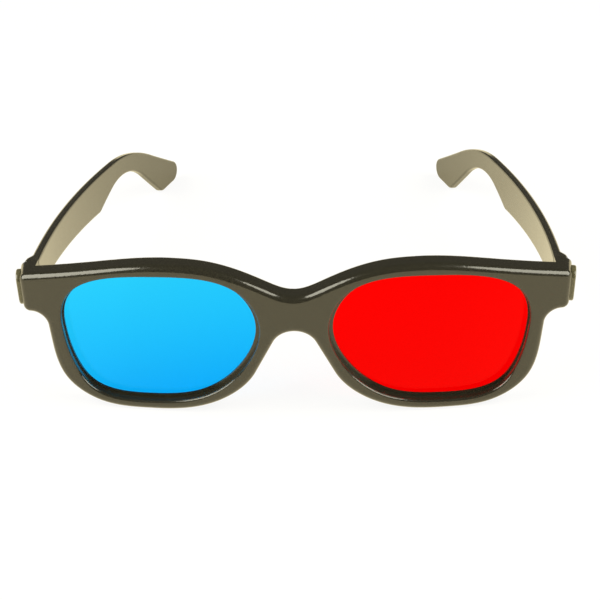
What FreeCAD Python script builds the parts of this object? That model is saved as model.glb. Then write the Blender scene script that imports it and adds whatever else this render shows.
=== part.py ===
import FreeCAD, Part
import math
import os
from FreeCAD import Vector

# Plastic 3D glasses with one red and one cyan filter lens.
# The front is two thin shells joined on a curved seam, and they hold the lenses between them.
# Each arm folds on a steel screw through a moulded three knuckle hinge.
# X runs across to the wearer's left, Y from the front to the ear tips, Z up from the table.
# The origin is on the table in the middle of the outer size.
# Sizes are in millimetres. Lengths along Y are first counted from the middle of the face.

# Lens openings
aperture_width = 54.1
aperture_height = 39.6
lens_gap = 18.8
rim_below = 3.1
aperture_edge_round = 0.7
lip_reach = 0.7
lip_thickness = 0.7
lip_shift = 0.4
lens_ledge_width = 0.45
lens_ledge_thickness = 0.7
rear_opening_margin = 1.6
lens_overlap = 1.6
lens_thickness = 0.8
lens_edge_clearance = 0.15
lens_face_clearance = 0.03

# Front shells
face_radius = 384.0
front_thickness = 6.2
front_shell_thickness = 3.3
brow_above = 3.3
bridge_height = 10.7
brow_end_slope = 8.0
rim_outside = 4.0
rim_tilt = 4.0
face_round = 2.0
back_round = 0.7
peg_radius = 0.7
peg_length = 1.6
peg_clearance = 0.05

# Nose arch
arch_top = 26.4
arch_radius = 6.5
flank_angle = 27.3
flank_straight_share = 0.48
pad_length = 14.0
pad_width = 3.0
pad_drop = 8.7
pad_root = 2.0
pad_reach = 1.8
pad_splay = 8.0
pad_round = 0.4

# End pieces
end_reach = 6.3
end_height = 11.0
end_drop = 5.8
end_depth = 8.3
end_flare = 1.5
armpit_radius = 4.0

# Side caps
cap_length = 6.1
cap_height = 9.8
cap_corner_radius = 2.6
cap_proud = 1.2
cap_recess = 0.8
cap_bevel = 0.5
cap_clearance = 0.05

# Hinges
stop_gap = 0.15
knuckle_radius = 2.3
knuckle_gap = 0.2
knuckle_play = 0.15
outer_knuckle_height = 1.6
middle_knuckle_height = 2.2
hinge_rise = 0.5
middle_knuckle_web = 8.0
screw_radius = 0.7
screw_head_radius = 1.25
screw_head_height = 0.8
screw_slot_width = 0.3
screw_slot_depth = 0.35
screw_running_clearance = 0.05
screw_seat_clearance = 0.02
screw_head_clearance = 0.1

# Arms
arm_length = 148.15
arm_thickness = 2.5
arm_bow_radius = 368.0
arm_bow_peak = 28.8
arm_inset = 3.5
arm_slope = 6.7
arm_round = 0.7
root_thickness = 4.0
root_length = 1.8
shoulder_length = 3.6
root_rise = 0.5
root_height = 10.6
root_run = 11.0
kink_distance = 76.0
kink_height = 12.9
underside_slope = 11.0
bend_distance = 111.5
hook_top_slope = 30.0
hook_bottom_slope = 42.2
heel_distance = 134.2
toe_round = 4.0
heel_round = 5.0
bend_radius = 83.0
neck_radius = 36.0
kink_radius = 6.0

# Values worked out from the sizes above
half_gap = lens_gap / 2
aperture_half_width = aperture_width / 2
aperture_half_height = aperture_height / 2
aperture_x = half_gap + aperture_half_width
aperture_z = rim_below + aperture_half_height
aperture_top = rim_below + aperture_height
rim_side_x = half_gap + aperture_width + rim_outside
front_half_width = rim_side_x + end_reach
brow_top = aperture_top + brow_above
bridge_top = arch_top + bridge_height
end_top = brow_top - end_drop
end_bottom = end_top - end_height
end_middle_z = end_top - end_height / 2
face_sagitta = face_radius - math.sqrt(face_radius**2 - front_half_width**2)
hinge_plane = face_sagitta + end_depth
arm_root_y = hinge_plane + stop_gap
overall_length = arm_root_y + arm_length
bow_centre_y = arm_root_y + arm_bow_peak
bow_rise = arm_bow_radius - math.sqrt(arm_bow_radius**2 - arm_bow_peak**2)
arm_inner_root_x = front_half_width - arm_inset
bow_centre_x = arm_inner_root_x + bow_rise - arm_bow_radius
screw_x = arm_inner_root_x - knuckle_radius - knuckle_gap
screw_y = hinge_plane + knuckle_gap + knuckle_radius
lip_depth = front_shell_thickness - lip_thickness
stack_height = 2 * outer_knuckle_height + middle_knuckle_height + 2 * knuckle_play
stack_low = end_bottom + hinge_rise
stack_high = stack_low + stack_height
flare_angle = math.degrees(math.atan(end_flare / end_depth))
cap_y = (face_sagitta + face_round + hinge_plane) / 2
cap_x = front_half_width + (cap_y - face_sagitta) * end_flare / end_depth
end_x = front_half_width + 2 * end_flare

# Lengths of the shapes that only cut: far is past everything, spare is a little past a surface
far = 200.0
spare = 1.0
tiny = 0.001

# The lens opening as shares of its half width and half height, from the outer side over the top
APERTURE_SHAPE = (
    (1.0, 0.11),
    (0.895, 0.655),
    (0.0, 1.0),
    (-0.855, 0.72),
    (-1.0, 0.30),
    (-0.83, -0.41),
    (-0.42, -0.875),
    (0.16, -1.0),
    (0.78, -0.80),
    (0.945, -0.36),
)

# The brow from the bridge to its peak: millimetres outward of the lens opening, share of the climb
BROW_SHAPE = (
    (-2.0, 0.27),
    (5.0, 0.63),
    (14.5, 0.93),
)

# The nose pad from root to tip: share of its reach, share of its full size
PAD_SHAPE = (
    (0.0, 1.0),
    (0.45, 0.94),
    (0.8, 0.78),
    (1.0, 0.56),
)


def polygon(points):
    """Closed wire through the points."""
    return Part.makePolygon(list(points) + [points[0]])


def rounded_outline(corners):
    """Closed wire of straight runs joined by tangent arcs; a corner is a point and its radius."""
    edges = []
    starts = []
    ends = []
    mids = []
    count = len(corners)
    for index in range(count):
        point, radius = corners[index]
        before = (corners[index - 1][0] - point).normalize()
        after = (corners[(index + 1) % count][0] - point).normalize()
        half_angle = before.getAngle(after) / 2
        cut = radius / math.tan(half_angle)
        bisector = (before + after).normalize()
        starts.append(point + before * cut)
        ends.append(point + after * cut)
        mids.append(point + bisector * (radius / math.sin(half_angle) - radius))
    for index in range(count):
        edges.append(Part.Arc(starts[index], mids[index], ends[index]).toShape())
        edges.append(Part.LineSegment(ends[index], starts[(index + 1) % count]).toShape())
    return Part.Wire(edges)


def prism(wire, direction):
    """Solid swept from a flat closed wire along a direction."""
    return Part.Face(wire).extrude(direction)


def mirrored(shape):
    """The same shape on the other side of the nose."""
    return shape.mirror(Vector(0, 0, 0), Vector(1, 0, 0))


def aperture_wire(grow, y):
    """Lens opening outline on the +X side, larger all round by grow, in the plane at y."""
    points = []
    for across, up in APERTURE_SHAPE:
        x = aperture_x + across * (aperture_half_width + grow)
        z = aperture_z + up * (aperture_half_height + grow)
        points.append(Vector(x, y, z))
    curve = Part.BSplineCurve()
    curve.interpolate(Points=points, PeriodicFlag=True)
    return Part.Wire(curve.toShape())


def aperture_prism(grow):
    """Solid through the front with the lens opening's outline."""
    return prism(aperture_wire(grow, -spare), Vector(0, hinge_plane, 0))


def spline(points, start_direction, end_direction):
    """Smooth edge through the points with given directions at its ends."""
    curve = Part.BSplineCurve()
    curve.interpolate(
        Points=points,
        InitialTangent=Vector(start_direction).normalize(),
        FinalTangent=Vector(end_direction).normalize(),
        Scale=False,
    )
    return curve.toShape()


def line(start, end):
    """Straight edge."""
    return Part.LineSegment(start, end).toShape()


def across(share):
    """X at a share of the lens opening's half width outward of its middle."""
    return aperture_x + share * aperture_half_width


def direction(angle):
    """Direction in the plane of the front, turned from the outward side to the top by degrees."""
    return Vector(math.cos(math.radians(angle)), 0, math.sin(math.radians(angle)))


def brow_edges():
    """Top edge of the +X half, from the bridge over the brow to the end piece."""
    climb = brow_top - bridge_top
    peak = Vector(across(-0.1), 0, brow_top)
    inner_points = [Vector(0, 0, bridge_top)]
    for outward, share in BROW_SHAPE:
        inner_points.append(Vector(half_gap + outward, 0, bridge_top + share * climb))
    inner_points.append(peak)
    outer_points = [
        peak,
        Vector(across(0.72), 0, brow_top - 0.45 * end_drop),
        Vector(end_x, 0, end_top),
    ]
    inner = spline(inner_points, direction(0), direction(0))
    outer = spline(outer_points, direction(0), direction(-brow_end_slope))
    return [inner, outer]


def end_edges(side):
    """Outer edges of the +X half, from the end piece round its armpit to the rim's side."""
    rim_up = direction(90 - rim_tilt)
    corner = side + rim_up * ((end_bottom - side.z) / rim_up.z)
    half_turn = math.radians(90 - rim_tilt) / 2
    cut = armpit_radius * math.tan(half_turn)
    low = corner - rim_up * cut
    high = corner + direction(0) * cut
    outward = (direction(0) - rim_up).normalize()
    middle = corner + outward * (armpit_radius / math.cos(half_turn) - armpit_radius)
    return [
        line(Vector(end_x, 0, end_top), Vector(end_x, 0, end_bottom)),
        line(Vector(end_x, 0, end_bottom), high),
        Part.Arc(high, middle, low).toShape(),
        line(low, side),
    ]


def arch_end():
    """Where the round top of the nose arch meets its straight flank on the +X side."""
    return Vector(0, 0, arch_top - arch_radius) + direction(flank_angle) * arch_radius


def rim_edges(side):
    """Lower edges of the +X half, from the rim's side under the lens and up the nose arch."""
    flank_up = direction(90 + flank_angle)
    flank_low = arch_end() - flank_up * (flank_straight_share * arch_end().z)
    bottom = Vector(across(0.2), 0, 0)
    outer_points = [
        side,
        Vector(across(0.93) + 0.72 * rim_outside, 0, 0.22 * aperture_height),
        Vector(across(0.66), 0, 0.4 * rim_below),
        bottom,
    ]
    inner_points = [
        bottom,
        Vector(across(-0.3), 0, 0.35 * rim_below),
        Vector(across(-0.68), 0, 1.75 * rim_below),
        flank_low,
    ]
    arch_centre = Vector(0, 0, arch_top - arch_radius)
    arch_middle = arch_centre + direction((90 + flank_angle) / 2) * arch_radius
    return [
        spline(outer_points, direction(-90 - rim_tilt), direction(180)),
        spline(inner_points, direction(180), flank_up),
        line(flank_low, arch_end()),
        Part.Arc(arch_end(), arch_middle, Vector(0, 0, arch_top)).toShape(),
    ]


def front_outline():
    """Closed outline of the whole front in the plane Y = 0."""
    side = Vector(rim_side_x, 0, aperture_z)
    half = brow_edges() + end_edges(side) + rim_edges(side)
    other_half = [mirrored(edge) for edge in half]
    return Part.Wire(Part.__sortEdges__(half + other_half))


def front_trim():
    """Prism that cuts the front's flared ends and its back at the hinge plane."""
    front_x = front_half_width - end_flare / end_depth * (face_sagitta + spare)
    back_x = front_half_width + end_flare
    plan = polygon([
        Vector(-front_x, -spare, -spare),
        Vector(front_x, -spare, -spare),
        Vector(back_x, hinge_plane, -spare),
        Vector(-back_x, hinge_plane, -spare),
    ])
    return prism(plan, Vector(0, 0, brow_top + 2 * spare))


def rounded(shape, radius, edges):
    """The single solid of a shape with the given edges rounded."""
    return shape.makeFillet(radius, edges).Solids[0]


def curved_face(shape, radius):
    """The largest upright cylindrical face of a radius."""
    faces = [face for face in shape.Faces if isinstance(face.Surface, Part.Cylinder)]
    faces = [face for face in faces if abs(face.Surface.Radius - radius) < tiny]
    return max(faces, key=lambda face: face.Area)


def behind(depth):
    """Everything deeper than a depth behind the face."""
    return Part.makeCylinder(face_radius - depth, far, Vector(0, face_radius, -far / 4))


def front_blank():
    """Both shells in one piece with rounded edges, without lens openings, pads or knuckles."""
    outline = front_outline()
    outline.translate(Vector(0, -spare, 0))
    plate = prism(outline, Vector(0, hinge_plane + 2 * spare, 0)).common(front_trim())
    rims = plate.common(behind(0).cut(behind(front_thickness))).Solids[0]
    rims = rounded(rims, back_round, curved_face(rims, face_radius - front_thickness).OuterWire.Edges)
    end = Part.makeBox(far, far, far, Vector(arm_inner_root_x, 0, end_bottom))
    lug_x = screw_x - knuckle_radius
    lug = block(lug_x, arm_inner_root_x + spare, 0, hinge_plane, end_bottom, stack_high)
    end = plate.common(end.fuse(lug)).common(behind(0))
    body = rims.fuse([end, mirrored(end)]).removeSplitter().Solids[0]
    corners = []
    for edge in body.Edges:
        box = edge.BoundBox
        at_end = abs(edge.CenterOfMass.x) > front_half_width - tiny
        runs_back = box.YLength > end_depth / 2 and box.ZLength < end_drop
        if at_end and runs_back:
            corners.append(edge)
    return rounded(body, face_round, corners + curved_face(body, face_radius).OuterWire.Edges)


def lens_stack():
    """What the shells lose for one lens, from the face to the back."""
    window = aperture_prism(0).cut(behind(lip_depth))
    light = aperture_prism(-lip_reach)
    light.translate(Vector(lip_shift, 0, 0))
    pocket_depth = front_shell_thickness + lens_thickness + 2 * lens_face_clearance
    pocket = aperture_prism(lens_overlap - lip_reach + lens_edge_clearance)
    pocket = pocket.common(behind(front_shell_thickness).cut(behind(pocket_depth)))
    ledge_opening = aperture_prism(lens_overlap - lip_reach - lens_ledge_width).common(behind(pocket_depth))
    rear_opening = aperture_prism(rear_opening_margin).common(behind(pocket_depth + lens_ledge_thickness))
    return [window, light, pocket, ledge_opening, rear_opening]


def lens():
    """Curved filter lens, seated between the lip and the rear shell."""
    front = front_shell_thickness + lens_face_clearance
    sheet = behind(front).cut(behind(front + lens_thickness))
    return aperture_prism(lens_overlap - lip_reach).common(sheet).Solids[0]


def nose_pad():
    """Moulded pad on the +X flank of the nose arch; it leans outwards as it reaches back."""
    down = direction(flank_angle - 90)
    outward = direction(flank_angle)
    root_depth = front_thickness - pad_root
    root = arch_end() + down * pad_drop + outward * (pad_width / 2) + Vector(0, root_depth, 0)
    reach = Vector(0, 1, 0) + outward * math.tan(math.radians(pad_splay))
    sections = []
    for share, size in PAD_SHAPE:
        centre = root + reach * ((pad_root + pad_reach) * share)
        long_end = centre + down * (pad_length / 2 * size)
        short_end = centre + outward * (pad_width / 2 * size)
        sections.append(Part.Wire(Part.Ellipse(long_end, short_end, centre).toShape()))
    pad = Part.makeLoft(sections, True)
    return rounded(pad, pad_round, pad.Faces[-1].Edges)


def upright_cylinder(radius, low, high):
    """Cylinder about the hinge axis on the +X side."""
    return Part.makeCylinder(radius, high - low, Vector(screw_x, screw_y, low))


def block(x_from, x_to, y_from, y_to, z_from, z_to):
    """Box between limits."""
    return Part.makeBox(x_to - x_from, y_to - y_from, z_to - z_from, Vector(x_from, y_from, z_from))


def outer_knuckles():
    """The two knuckles of the rear shell on the +X side, bored for the screw."""
    parts = []
    for low in (stack_low, stack_high - outer_knuckle_height):
        high = low + outer_knuckle_height
        x_from = screw_x - knuckle_radius
        x_to = screw_x + knuckle_radius
        web = block(x_from, x_to, hinge_plane - spare, screw_y, low, high)
        parts.append(upright_cylinder(knuckle_radius, low, high).fuse(web))
    return parts


def screw_bores():
    """Through bore and head seat in the outer knuckles."""
    bore = upright_cylinder(screw_radius + screw_seat_clearance, stack_low - spare, stack_high + spare)
    seat_low = stack_high - screw_head_height - screw_head_clearance
    seat = upright_cylinder(screw_head_radius + screw_head_clearance, seat_low, stack_high + spare)
    return [bore, seat]


def hinge_screw():
    """Steel screw with a slotted head that sits in the upper knuckle."""
    head_low = stack_high - screw_head_height - screw_head_clearance
    head_high = head_low + screw_head_height
    shank = upright_cylinder(screw_radius, stack_low, head_low)
    head = upright_cylinder(screw_head_radius, head_low, head_high)
    reach = 2 * screw_head_radius
    half_slot = screw_slot_width / 2
    slot = block(screw_x - reach, screw_x + reach, screw_y - half_slot, screw_y + half_slot,
                 head_high - screw_slot_depth, head_high + spare)
    return shank.fuse(head).cut(slot).removeSplitter()


def cap_solid(grow, low, high):
    """Oval plate on the flared side of the +X end piece, between two heights over that side."""
    half_length = cap_length / 2 + grow
    half_height = cap_height / 2 + grow
    outline = rounded_outline([
        (Vector(0, -half_length, -half_height), cap_corner_radius),
        (Vector(0, half_length, -half_height), cap_corner_radius),
        (Vector(0, half_length, half_height), cap_corner_radius),
        (Vector(0, -half_length, half_height), cap_corner_radius),
    ])
    plate = prism(outline, Vector(high - low, 0, 0))
    plate.translate(Vector(low, 0, 0))
    plate.rotate(Vector(0, 0, 0), Vector(0, 0, 1), -flare_angle)
    plate.translate(Vector(cap_x, cap_y, end_middle_z))
    return plate


def side_cap():
    """Bare oval cap, seated in a shallow recess across the seam of the shells."""
    cap = cap_solid(0, cap_clearance - cap_recess, cap_proud)
    outside = max(cap.Faces, key=lambda face: face.CenterOfMass.x)
    return rounded(cap, cap_bevel, outside.Edges)


def pegs(grow, length):
    """Locating pegs of the rear shell, which reach forward into the front shell."""
    places = ((half_gap / 2, arch_top + 0.45 * bridge_height), (rim_side_x + end_reach / 3, end_middle_z))
    solids = []
    for x, z in places:
        seam_y = face_radius - math.sqrt((face_radius - front_shell_thickness)**2 - x**2)
        tip = Vector(x, seam_y - length, z)
        peg = Part.makeCylinder(peg_radius + grow, length + spare, tip, Vector(0, 1, 0))
        solids.extend([peg, mirrored(peg)])
    return solids


def both_sides(solids):
    """The solids and their mirror images."""
    return solids + [mirrored(solid) for solid in solids]


def shells():
    """Front shell and rear shell."""
    body = front_blank()
    body = body.cut(both_sides(lens_stack()))
    front = body.cut(behind(front_shell_thickness))
    front = front.cut(pegs(peg_clearance, peg_length + peg_clearance)).Solids[0]
    face = curved_face(front, face_radius)
    window_edges = [edge for wire in face.Wires if not wire.isSame(face.OuterWire) for edge in wire.Edges]
    front = rounded(front, aperture_edge_round, window_edges)
    rear = body.common(behind(front_shell_thickness))
    pad = nose_pad().cut(lens_stack())
    rear = rear.fuse(both_sides(outer_knuckles() + [pad]) + pegs(0, peg_length))
    rear = rear.cut(both_sides(screw_bores())).Solids[0]
    recess = cap_solid(cap_clearance, -cap_recess, cap_proud + spare)
    front = front.cut(both_sides([recess])).Solids[0]
    rear = rear.cut(both_sides([recess])).Solids[0]
    return front, rear


def outer_bow(y):
    """X of the arm's outer side at y."""
    return bow_centre_x + math.sqrt((arm_bow_radius + arm_thickness)**2 - (y - bow_centre_y)**2)


def inner_bow(y):
    """X of the arm's inner side at y."""
    return bow_centre_x + math.sqrt(arm_bow_radius**2 - (y - bow_centre_y)**2)


def arm_plan():
    """Arm seen from above: a thick root, a shoulder and a long even bow."""
    root_end = arm_root_y + root_length
    shoulder_end = root_end + shoulder_length
    far_y = overall_length + spare
    middle_y = (shoulder_end + far_y) / 2
    middle_in = (arm_root_y + far_y) / 2
    root_outer_x = arm_inner_root_x + root_thickness
    shoulder_to = Vector(outer_bow(shoulder_end), shoulder_end, 0)
    bow_direction = Vector(-(shoulder_end - bow_centre_y), shoulder_to.x - bow_centre_x, 0)
    shoulder = spline([Vector(root_outer_x, root_end, 0), shoulder_to], Vector(0, 1, 0), bow_direction)
    outer = Part.Arc(shoulder_to, Vector(outer_bow(middle_y), middle_y, 0),
                     Vector(outer_bow(far_y), far_y, 0)).toShape()
    inner = Part.Arc(Vector(inner_bow(far_y), far_y, 0), Vector(inner_bow(middle_in), middle_in, 0),
                     Vector(arm_inner_root_x, arm_root_y, 0)).toShape()
    edges = [
        line(Vector(arm_inner_root_x, arm_root_y, 0), Vector(root_outer_x, arm_root_y, 0)),
        line(Vector(root_outer_x, arm_root_y, 0), Vector(root_outer_x, root_end, 0)),
        shoulder,
        outer,
        line(Vector(outer_bow(far_y), far_y, 0), Vector(inner_bow(far_y), far_y, 0)),
        inner,
    ]
    return Part.Wire(edges)


def arm_side():
    """Arm seen from the side: deep to the kink, then a slim neck and a drooping ear tip."""
    slope = math.tan(math.radians(arm_slope))
    top = end_top + root_rise
    bend_y = arm_root_y + bend_distance
    bend_z = top - bend_distance * slope
    toe_z = bend_z - (overall_length - bend_y) * math.tan(math.radians(hook_top_slope))
    heel_y = arm_root_y + heel_distance
    kink_y = arm_root_y + kink_distance
    kink_z = top - kink_distance * slope - kink_height
    rise = math.tan(math.radians(underside_slope))
    fall = math.tan(math.radians(hook_bottom_slope))
    neck_y = (heel_y * fall + kink_y * rise - kink_z) / (rise + fall)
    neck_z = (heel_y - neck_y) * fall
    root_bottom = top - root_height
    return rounded_outline([
        (Vector(0, arm_root_y, top), arm_round),
        (Vector(0, bend_y, bend_z), bend_radius),
        (Vector(0, overall_length, toe_z), toe_round),
        (Vector(0, overall_length, 0), toe_round),
        (Vector(0, heel_y, 0), heel_round),
        (Vector(0, neck_y, neck_z), neck_radius),
        (Vector(0, kink_y, kink_z), kink_radius),
        (Vector(0, arm_root_y + root_run, root_bottom), root_run),
        (Vector(0, arm_root_y, root_bottom), arm_round),
    ])


def arm():
    """Folding arm of the +X side with its middle knuckle."""
    blade = prism(arm_side(), Vector(far, 0, 0)).common(prism(arm_plan(), Vector(0, 0, far))).Solids[0]
    long_edges = []
    for edge in blade.Edges:
        box = edge.BoundBox
        along_root = box.YMax < arm_root_y + tiny
        across_blade = box.YLength < arm_thickness and box.XLength > arm_thickness / 2
        if not along_root and not across_blade:
            long_edges.append(edge)
    blade = rounded(blade, arm_round, long_edges)
    low = stack_low + outer_knuckle_height + knuckle_play
    high = low + middle_knuckle_height
    root_x = arm_inner_root_x + arm_thickness / 3
    web_plan = polygon([
        Vector(screw_x, screw_y - knuckle_radius, low),
        Vector(root_x, screw_y - knuckle_radius, low),
        Vector(root_x, screw_y + middle_knuckle_web - knuckle_radius, low),
        Vector(screw_x, screw_y + knuckle_radius, low),
    ])
    web = prism(web_plan, Vector(0, 0, high - low))
    bore = upright_cylinder(screw_radius + screw_running_clearance, low - spare, high + spare)
    return blade.fuse([web, upright_cylinder(knuckle_radius, low, high)]).cut(bore).removeSplitter()


def save(name, shape):
    """Write one piece, with the origin moved to the middle of the outer size."""
    piece = shape.copy()
    piece.translate(Vector(0, -overall_length / 2, 0))
    piece.exportStep("parts/" + name + ".step")
    box = piece.BoundBox
    print(name, len(piece.Solids), piece.isValid(), round(piece.Volume, 2),
          [round(v, 2) for v in (box.XMin, box.XMax, box.YMin, box.YMax, box.ZMin, box.ZMax)])


def main():
    os.makedirs("parts", exist_ok=True)
    front, rear = shells()
    save("front_shell", front)
    save("rear_shell", rear)
    red_lens = lens()
    save("lens_red_left", red_lens)
    save("lens_cyan_right", mirrored(red_lens))
    for name, piece in (("arm", arm()), ("hinge_screw", hinge_screw()), ("side_cap", side_cap())):
        save(name + "_left", piece)
        save(name + "_right", mirrored(piece))


main()
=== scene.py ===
import math

import bpy
from mathutils import Matrix, Vector

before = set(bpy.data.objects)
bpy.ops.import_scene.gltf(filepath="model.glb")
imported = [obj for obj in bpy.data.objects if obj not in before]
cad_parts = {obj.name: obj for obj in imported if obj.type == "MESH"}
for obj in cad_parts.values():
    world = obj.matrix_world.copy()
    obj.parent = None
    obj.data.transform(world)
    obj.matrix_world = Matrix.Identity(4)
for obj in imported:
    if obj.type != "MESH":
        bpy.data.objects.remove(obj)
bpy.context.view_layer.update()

MM = 0.001

# Real sizes of the patterns in the finishes
PEEL_SIZE = 4 * MM
PEEL_DEPTH = 0.15 * MM
PATCH_SIZE = 15 * MM
WAVE_SIZE = 12 * MM
WAVE_DEPTH = 0.1 * MM
# Grains of about 0.1 mm and lathe marks of about 0.03 mm are drawn coarser, so that they show
GRAIN_SIZE = 0.35 * MM
LATHE_MARK_SIZE = 0.12 * MM

# The direction in which the painted shade on the lenses deepens, and where along it the shade is
# lightest and deepest
PAINTED_SHADE_SLOPE = (0.25, 0.0, -0.97)
PAINTED_SHADE_LIGHT_END = -53 * MM
PAINTED_SHADE_DEEP_END = -10 * MM

# White card of the table: its own white, its tone in gloss, and how much it shows unshaded
CARD_WHITE = "#fbfbfb"
CARD_GLOSS_TONE = "#ffefbe"
CARD_SHARE = 0.88
TABLE_RADIUS = 2.5

# The room is pale below the first of two heights and dim above the second, on a scale where
# 0 is level with the eye and 1 is overhead
ROOM_PALE = "#fff0c2"
ROOM_DIM = "#4c4a46"
ROOM_PALE_TOP = 0.03
ROOM_DIM_FOOT = 0.11
ROOM_LEVEL = 1.0
ROOM_EXTRA_ON_MATT = 4.5

# Round soft boxes: degrees to the right of the camera's side, degrees up, and watts
SOFTBOXES = {
    "left_softbox": (-71, 37, 24),
    "right_softbox": (74, 37, 23),
}
SOFTBOX_DISTANCE = 1.5
SOFTBOX_SIZE = 1.35
SOFTBOX_COLOUR = "#fdf9e4"

# Camera: its place, its angles in degrees, and its lens and sensor in millimetres
CAMERA_PLACE = (10.6 * MM, -343.2 * MM, 187.83 * MM)
CAMERA_TURN = 1.926
CAMERA_DROP = 30.0
CAMERA_ROLL = -1.314
LENS_LENGTH = 69.0
SENSOR_WIDTH = 36.0
NEAR_CLIP = 0.01
FAR_CLIP = 20.0


def linear(hex_colour):
    """sRGB hex colour as a linear RGBA."""
    channels = []
    for start in (1, 3, 5):
        value = int(hex_colour[start:start + 2], 16) / 255
        if value <= 0.04045:
            channels.append(value / 12.92)
        else:
            channels.append(((value + 0.055) / 1.055) ** 2.4)
    return (*channels, 1.0)


def add_node(tree, kind, settings=None, links=None):
    """One shader node, with its settings and the outputs that feed it."""
    node = tree.nodes.new(kind)
    for name, value in (settings or {}).items():
        if isinstance(name, int) or name in node.inputs:
            node.inputs[name].default_value = value
        else:
            setattr(node, name, value)
    for name, source in (links or {}).items():
        tree.links.new(source, node.inputs[name])
    return node


def new_material(name):
    """An empty node material and its tree."""
    material = bpy.data.materials.new(name)
    material.use_nodes = True
    material.node_tree.nodes.clear()
    return material, material.node_tree


def object_place(tree, size):
    """Object coordinates in units of a pattern's real size."""
    place = add_node(tree, "ShaderNodeTexCoord")
    scale = (1 / size, 1 / size, 1 / size)
    return add_node(tree, "ShaderNodeMapping", {"Scale": scale},
                    {"Vector": place.outputs["Object"]})


# ABS from a polished mould: a deep warm body, flecked from dark to pale, under a hard gloss skin
def moulded_abs(name, dark_hex, pale_hex):
    """Moulded ABS with grains between two colours."""
    material, tree = new_material(name)
    # The skin has the faint orange peel of a moulding
    peel_place = object_place(tree, PEEL_SIZE)
    peel = add_node(tree, "ShaderNodeTexNoise", {"Scale": 1.0, "Detail": 1.0, "Roughness": 0.4},
                    {"Vector": peel_place.outputs["Vector"]})
    bump = add_node(tree, "ShaderNodeBump", {"Strength": 0.06, "Distance": PEEL_DEPTH},
                    {"Height": peel.outputs["Fac"]})
    # Fine dull grains lie in the body
    grain_place = object_place(tree, GRAIN_SIZE)
    grain = add_node(tree, "ShaderNodeTexNoise", {"Scale": 1.0, "Detail": 2.0, "Roughness": 0.6},
                     {"Vector": grain_place.outputs["Vector"]})
    colour = add_node(tree, "ShaderNodeValToRGB", None, {"Fac": grain.outputs["Fac"]})
    dark_grain, pale_grain = colour.color_ramp.elements
    dark_grain.position = 0.3
    dark_grain.color = linear(dark_hex)
    pale_grain.position = 0.7
    pale_grain.color = linear(pale_hex)
    # Handling leaves soft dull patches
    patch_place = object_place(tree, PATCH_SIZE)
    patch = add_node(tree, "ShaderNodeTexNoise", {"Scale": 1.0, "Detail": 3.0, "Roughness": 0.55},
                     {"Vector": patch_place.outputs["Vector"]})
    dulling = add_node(tree, "ShaderNodeMath", {"operation": "MULTIPLY"},
                       {0: grain.outputs["Fac"], 1: patch.outputs["Fac"]})
    roughness = add_node(
        tree, "ShaderNodeMapRange",
        {"From Min": 0.1, "From Max": 0.45, "To Min": 0.13, "To Max": 0.22},
        {"Value": dulling.outputs["Value"]},
    )
    skin = add_node(
        tree, "ShaderNodeBsdfPrincipled",
        {"IOR": 1.54, "Coat Weight": 0.65, "Coat Roughness": 0.06, "Coat IOR": 1.5},
        {"Base Color": colour.outputs["Color"], "Roughness": roughness.outputs["Result"],
         "Normal": bump.outputs["Normal"], "Coat Normal": bump.outputs["Normal"]},
    )
    add_node(tree, "ShaderNodeOutputMaterial", None, {"Surface": skin.outputs["BSDF"]})
    return material


# Dyed acetate sheet: clear, glossy on both sides, and coloured all through
def dyed_acetate(name, pale_hex, deep_hex, gloss_hex):
    """Acetate sheet with a painted shade that runs between two colours, with tinted gloss."""
    material, tree = new_material(name)
    # A painted shade makes the colour a little deeper low down and towards the wearer's left
    shade_place = add_node(tree, "ShaderNodeTexCoord")
    shade_run = add_node(tree, "ShaderNodeVectorMath", {"operation": "DOT_PRODUCT", 1: PAINTED_SHADE_SLOPE},
                       {0: shade_place.outputs["Object"]})
    painted_shade = add_node(tree, "ShaderNodeMapRange",
                   {"From Min": PAINTED_SHADE_LIGHT_END, "From Max": PAINTED_SHADE_DEEP_END},
                   {"Value": shade_run.outputs["Value"]})
    colour = add_node(tree, "ShaderNodeValToRGB", None, {"Fac": painted_shade.outputs["Result"]})
    unshaded_tint, shaded_tint = colour.color_ramp.elements
    unshaded_tint.color = linear(pale_hex)
    shaded_tint.color = linear(deep_hex)
    # Rolled sheet is never quite flat, but has shallow waves
    wave_place = object_place(tree, WAVE_SIZE)
    wave = add_node(tree, "ShaderNodeTexNoise", {"Scale": 1.0, "Detail": 1.0, "Roughness": 0.4},
                    {"Vector": wave_place.outputs["Vector"]})
    bump = add_node(tree, "ShaderNodeBump", {"Strength": 0.05, "Distance": WAVE_DEPTH},
                    {"Height": wave.outputs["Fac"]})
    sheet = add_node(
        tree, "ShaderNodeBsdfPrincipled",
        {"IOR": 1.48, "Roughness": 0.03, "Transmission Weight": 1.0,
         "Specular Tint": linear(gloss_hex)},
        {"Base Color": colour.outputs["Color"], "Normal": bump.outputs["Normal"]},
    )
    # Lamps shine through the sheet and take its colour, half at each of its two faces
    half_tint = tuple(math.sqrt(channel) for channel in linear(deep_hex))
    through = add_node(tree, "ShaderNodeBsdfTransparent", {"Color": half_tint})
    rays = add_node(tree, "ShaderNodeLightPath")
    mix = add_node(
        tree, "ShaderNodeMixShader", None,
        {0: rays.outputs["Is Shadow Ray"], 1: sheet.outputs["BSDF"], 2: through.outputs["BSDF"]},
    )
    add_node(tree, "ShaderNodeOutputMaterial", None, {"Surface": mix.outputs["Shader"]})
    return material


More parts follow.
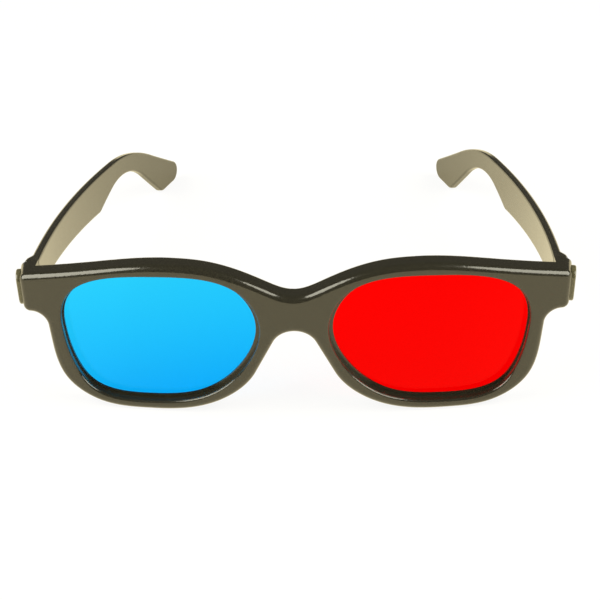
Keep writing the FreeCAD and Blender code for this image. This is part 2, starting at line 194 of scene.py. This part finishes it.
# Turned steel: bare grey metal, its shine broken up by the fine marks of the lathe
def turned_steel():
    """Turned steel for the hinge screws."""
    material, tree = new_material("turned_steel")
    mark_place = object_place(tree, LATHE_MARK_SIZE)
    marks = add_node(tree, "ShaderNodeTexNoise", {"Scale": 1.0, "Detail": 1.0, "Roughness": 0.5},
                     {"Vector": mark_place.outputs["Vector"]})
    roughness = add_node(
        tree, "ShaderNodeMapRange",
        {"From Min": 0.3, "From Max": 0.7, "To Min": 0.22, "To Max": 0.4},
        {"Value": marks.outputs["Fac"]},
    )
    metal = add_node(tree, "ShaderNodeBsdfPrincipled",
                     {"Base Color": linear("#b9b7b2"), "Metallic": 1.0},
                     {"Roughness": roughness.outputs["Result"]})
    add_node(tree, "ShaderNodeOutputMaterial", None, {"Surface": metal.outputs["BSDF"]})
    return material


black_abs = moulded_abs("moulded_black_abs", dark_hex="#211f18", pale_hex="#2d2c23")
# The side caps are the same black ABS as the rest, painted grey to stand for the pale reflection
# of the table on their sides
cap_abs_painted_reflection = moulded_abs("moulded_abs_painted_reflection", dark_hex="#524f3a", pale_hex="#5e5b44")
# The second colour of each lens is its tint in painted shade, and it also tints the lamp light
# that passes through
red_sheet = dyed_acetate("dyed_red_acetate", pale_hex="#ff0000", deep_hex="#fa0000",
                         gloss_hex="#ff0000")
cyan_sheet = dyed_acetate("dyed_cyan_acetate", pale_hex="#26ceff", deep_hex="#04acff",
                          gloss_hex="#18b4ff")
steel = turned_steel()

FINISHES = {
    "front_shell": black_abs,
    "rear_shell": black_abs,
    "arm_left": black_abs,
    "arm_right": black_abs,
    "lens_red_left": red_sheet,
    "lens_cyan_right": cyan_sheet,
    "hinge_screw_left": steel,
    "hinge_screw_right": steel,
    "side_cap_left": cap_abs_painted_reflection,
    "side_cap_right": cap_abs_painted_reflection,
}
for node_name, finish in FINISHES.items():
    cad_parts[node_name].material_slots[0].material = finish


# Matt white card: it looks white to the eye and through the lenses and warm in gloss, and keeps
# a soft shadow, because part of it is shaded as a matt surface is
def white_card():
    """Card for the table top, part shaded and part plain white."""
    material, tree = new_material("matt_white_card")
    card = add_node(tree, "ShaderNodeBsdfDiffuse", {"Color": linear(CARD_WHITE)})
    rays = add_node(tree, "ShaderNodeLightPath")
    # A ray refracted by a lens counts as glossy too, so it is taken off
    mirrored = add_node(
        tree, "ShaderNodeMath", {"operation": "SUBTRACT", "use_clamp": True},
        {0: rays.outputs["Is Glossy Ray"], 1: rays.outputs["Is Transmission Ray"]},
    )
    tone = add_node(tree, "ShaderNodeValToRGB", None, {"Fac": mirrored.outputs["Value"]})
    plain_tone, gloss_tone = tone.color_ramp.elements
    plain_tone.color = linear("#ffffff")
    gloss_tone.color = linear(CARD_GLOSS_TONE)
    white = add_node(tree, "ShaderNodeEmission", {"Strength": 1.0},
                     {"Color": tone.outputs["Color"]})
    seen = add_node(tree, "ShaderNodeMath", {"operation": "ADD"},
                    {0: rays.outputs["Is Camera Ray"], 1: rays.outputs["Is Glossy Ray"]})
    seen_through = add_node(
        tree, "ShaderNodeMath", {"operation": "ADD", "use_clamp": True},
        {0: seen.outputs["Value"], 1: rays.outputs["Is Transmission Ray"]},
    )
    share = add_node(tree, "ShaderNodeMath", {"operation": "MULTIPLY", 1: CARD_SHARE},
                     {0: seen_through.outputs["Value"]})
    mix = add_node(
        tree, "ShaderNodeMixShader", None,
        {0: share.outputs["Value"], 1: card.outputs["BSDF"], 2: white.outputs["Emission"]},
    )
    add_node(tree, "ShaderNodeOutputMaterial", None, {"Surface": mix.outputs["Shader"]})
    return material


def studio_table():
    """Wide pale table top."""
    bpy.ops.object.select_all(action="DESELECT")
    bpy.ops.mesh.primitive_circle_add(vertices=128, radius=TABLE_RADIUS, fill_type="NGON")
    table = bpy.context.object
    table.name = "studio_table"
    table.data.materials.append(white_card())


def studio_room():
    """Dim room, pale at its foot, that the eye and the lenses see as a white backdrop."""
    world = bpy.data.worlds.new("studio")
    bpy.context.scene.world = world
    world.use_nodes = True
    tree = world.node_tree
    tree.nodes.clear()
    sky = add_node(tree, "ShaderNodeTexCoord")
    height = add_node(tree, "ShaderNodeSeparateXYZ", None, {"Vector": sky.outputs["Generated"]})
    walls = add_node(tree, "ShaderNodeValToRGB", None, {"Fac": height.outputs["Z"]})
    pale_foot, dim_top = walls.color_ramp.elements
    pale_foot.position = ROOM_PALE_TOP
    pale_foot.color = linear(ROOM_PALE)
    dim_top.position = ROOM_DIM_FOOT
    dim_top.color = linear(ROOM_DIM)
    rays = add_node(tree, "ShaderNodeLightPath")
    level = add_node(
        tree, "ShaderNodeMath",
        {"operation": "MULTIPLY_ADD", 1: ROOM_EXTRA_ON_MATT, 2: ROOM_LEVEL},
        {0: rays.outputs["Is Diffuse Ray"]},
    )
    room = add_node(tree, "ShaderNodeBackground", None,
                    {"Color": walls.outputs["Color"], "Strength": level.outputs["Value"]})
    backdrop = add_node(tree, "ShaderNodeBackground",
                        {"Color": linear("#ffffff"), "Strength": 1.0})
    seen = add_node(
        tree, "ShaderNodeMath", {"operation": "ADD", "use_clamp": True},
        {0: rays.outputs["Is Camera Ray"], 1: rays.outputs["Is Transmission Ray"]},
    )
    # A glossy surface mirrors the room, also where it mirrors it through a lens
    open_view = add_node(tree, "ShaderNodeMath", {"operation": "SUBTRACT", "use_clamp": True},
                         {0: seen.outputs["Value"], 1: rays.outputs["Glossy Depth"]})
    mix = add_node(
        tree, "ShaderNodeMixShader", None,
        {0: open_view.outputs["Value"], 1: room.outputs["Background"],
         2: backdrop.outputs["Background"]},
    )
    add_node(tree, "ShaderNodeOutputWorld", None, {"Surface": mix.outputs["Shader"]})


def softbox(name, azimuth, elevation, power):
    """Round lamp that faces the object."""
    turn = math.radians(azimuth)
    rise = math.radians(elevation)
    away = Vector((
        math.sin(turn) * math.cos(rise),
        -math.cos(turn) * math.cos(rise),
        math.sin(rise),
    ))
    lamp = bpy.data.lights.new(name, "AREA")
    lamp.shape = "ELLIPSE"
    lamp.size = SOFTBOX_SIZE
    lamp.size_y = SOFTBOX_SIZE
    lamp.energy = power
    lamp.color = linear(SOFTBOX_COLOUR)[:3]
    box = bpy.data.objects.new(name, lamp)
    box.location = away * SOFTBOX_DISTANCE
    box.rotation_mode = "QUATERNION"
    box.rotation_quaternion = away.to_track_quat("Z", "Y")
    bpy.context.scene.collection.objects.link(box)


def photo_camera():
    """Camera at the photograph's place: it looks down, nearly head-on, with a slight roll."""
    turn = math.radians(CAMERA_TURN)
    drop = math.radians(CAMERA_DROP)
    roll = math.radians(CAMERA_ROLL)
    ahead = Vector((
        -math.sin(turn) * math.cos(drop),
        math.cos(turn) * math.cos(drop),
        -math.sin(drop),
    ))
    level = Vector((math.cos(turn), math.sin(turn), 0))
    above = level.cross(ahead)
    right = level * math.cos(roll) + above * math.sin(roll)
    up = above * math.cos(roll) - level * math.sin(roll)
    lens = bpy.data.cameras.new("photo_camera")
    lens.sensor_width = SENSOR_WIDTH
    lens.lens = LENS_LENGTH
    lens.clip_start = NEAR_CLIP
    lens.clip_end = FAR_CLIP
    camera = bpy.data.objects.new("photo_camera", lens)
    matrix = Matrix((right, up, -ahead)).transposed().to_4x4()
    matrix.translation = Vector(CAMERA_PLACE)
    camera.matrix_world = matrix
    bpy.context.scene.collection.objects.link(camera)
    bpy.context.scene.camera = camera


studio_table()
studio_room()
for softbox_name, (azimuth, elevation, power) in SOFTBOXES.items():
    softbox(softbox_name, azimuth, elevation, power)
photo_camera()
bpy.context.scene.view_settings.view_transform = "Standard"
